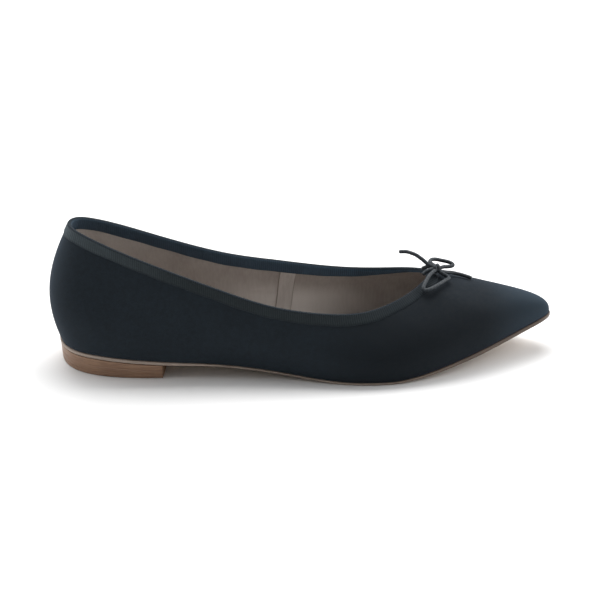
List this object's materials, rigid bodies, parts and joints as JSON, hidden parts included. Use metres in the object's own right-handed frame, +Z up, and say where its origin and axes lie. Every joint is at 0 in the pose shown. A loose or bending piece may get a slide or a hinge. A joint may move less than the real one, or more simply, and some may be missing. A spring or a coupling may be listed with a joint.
{
  "type": "ballet flat",
  "caption": "Pointed-toe ballet flat in black suede with a ribbed topline binding, a small cord bow at the throat, a thin leather sole and a low stacked heel block.",
  "frame": {"origin": "on the floor, under the middle of the shoe's box without the bow", "axes": "+X from the heel to the toe, +Y towards the inner side of the foot, +Z up"},
  "size_m": [0.262, 0.0796, 0.075],
  "materials": {
    "sole_leather": "smooth, worked edge",
    "stacked_heel": "satin, fine layers",
    "sock_leather": "smooth matte",
    "black_suede": "napped suede",
    "black_ribbon": "ribbed grosgrain",
    "black_cord": "round braided cord"
  },
  "bodies": {
    "root": {"outsole": "sole_leather", "heel": "stacked_heel", "insole": "sock_leather", "upper": "black_suede", "topline_binding": "black_ribbon", "bow_knot": "black_cord", "bow_loop_outer": "black_cord", "bow_loop_inner": "black_cord", "bow_tail_back": "black_cord", "bow_tail_front": "black_cord"}
  },
  "joints": []
}
